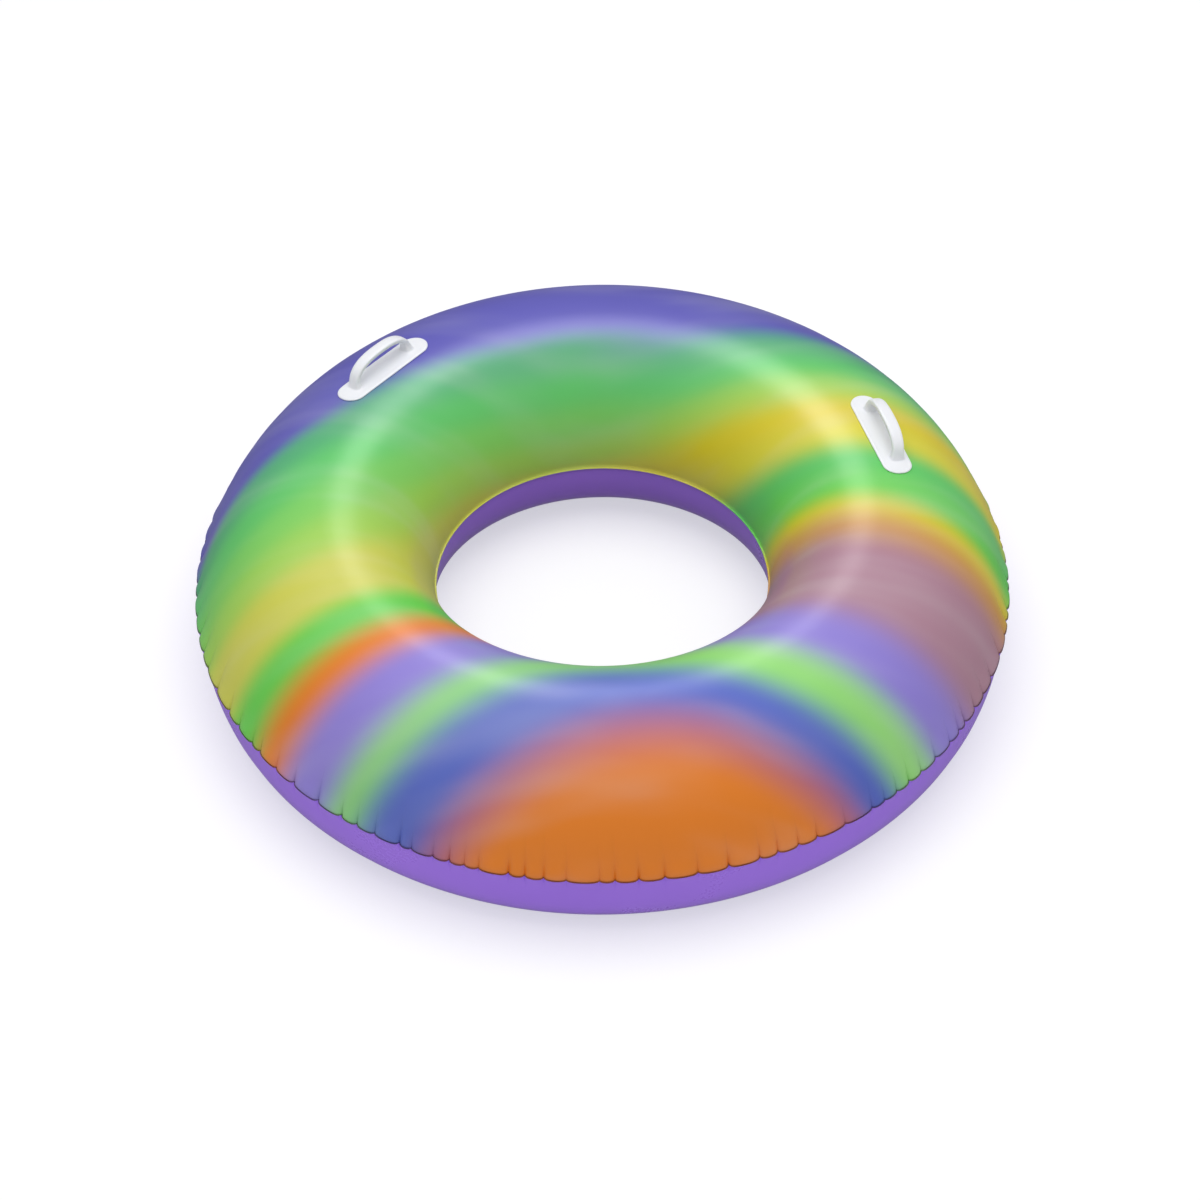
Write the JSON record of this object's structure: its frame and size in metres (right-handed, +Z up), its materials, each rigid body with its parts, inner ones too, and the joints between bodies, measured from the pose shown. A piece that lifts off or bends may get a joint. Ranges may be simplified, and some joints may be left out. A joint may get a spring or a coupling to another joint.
{
  "type": "inflatable swim ring",
  "caption": "Ring-shaped inflatable for riding on water, two welded film halves with moulded carry handles and a push-in air valve with a plug on a strap.",
  "frame": {"origin": "centre of the ring at the floor it rests on", "axes": "+Z up along the ring's axis, +Y towards the point midway between the two handles, +X to the right"},
  "size_m": [1.076, 1.076, 0.2997],
  "materials": {
    "top_film": "glossy printed vinyl film, rainbow colours blurred into each other",
    "bottom_film": "glossy purple vinyl film",
    "handle_plastic": "white soft vinyl, smooth satin moulding",
    "valve_plastic": "milky white soft vinyl",
    "flap_plastic": "thin milky vinyl"
  },
  "bodies": {
    "ring": {"top_skin": "top_film", "bottom_skin": "bottom_film", "left_handle_pad": "handle_plastic", "left_handle_grip": "handle_plastic", "right_handle_pad": "handle_plastic", "right_handle_grip": "handle_plastic", "valve_flange": "valve_plastic", "valve_collar": "valve_plastic"},
    "stem": {"valve_stem": "valve_plastic", "tether_tab": "valve_plastic"},
    "flap": {"check_flap": "flap_plastic"},
    "plug": {"valve_plug": "valve_plastic", "tether_arm": "valve_plastic"}
  },
  "joints": [
    {"name": "valve_pull", "type": "slide", "parent": "ring", "child": "stem", "axis": [0, 0.9616, 0.2743], "range_m": [0, 0.009]},
    {"name": "plug_swing", "type": "hinge", "parent": "stem", "child": "plug", "pos_m": [0, -0.22004, 0.13393], "axis": [-1, 0, 0], "range_deg": [0, 135]},
    {"name": "flap_open", "type": "hinge", "parent": "stem", "child": "flap", "pos_m": [0, -0.2487, 0.14801], "axis": [-1, 0, 0], "range_deg": [0, 60], "stiffness_Nm_per_rad": 0.00005, "springref_deg": -28.65}
  ]
}
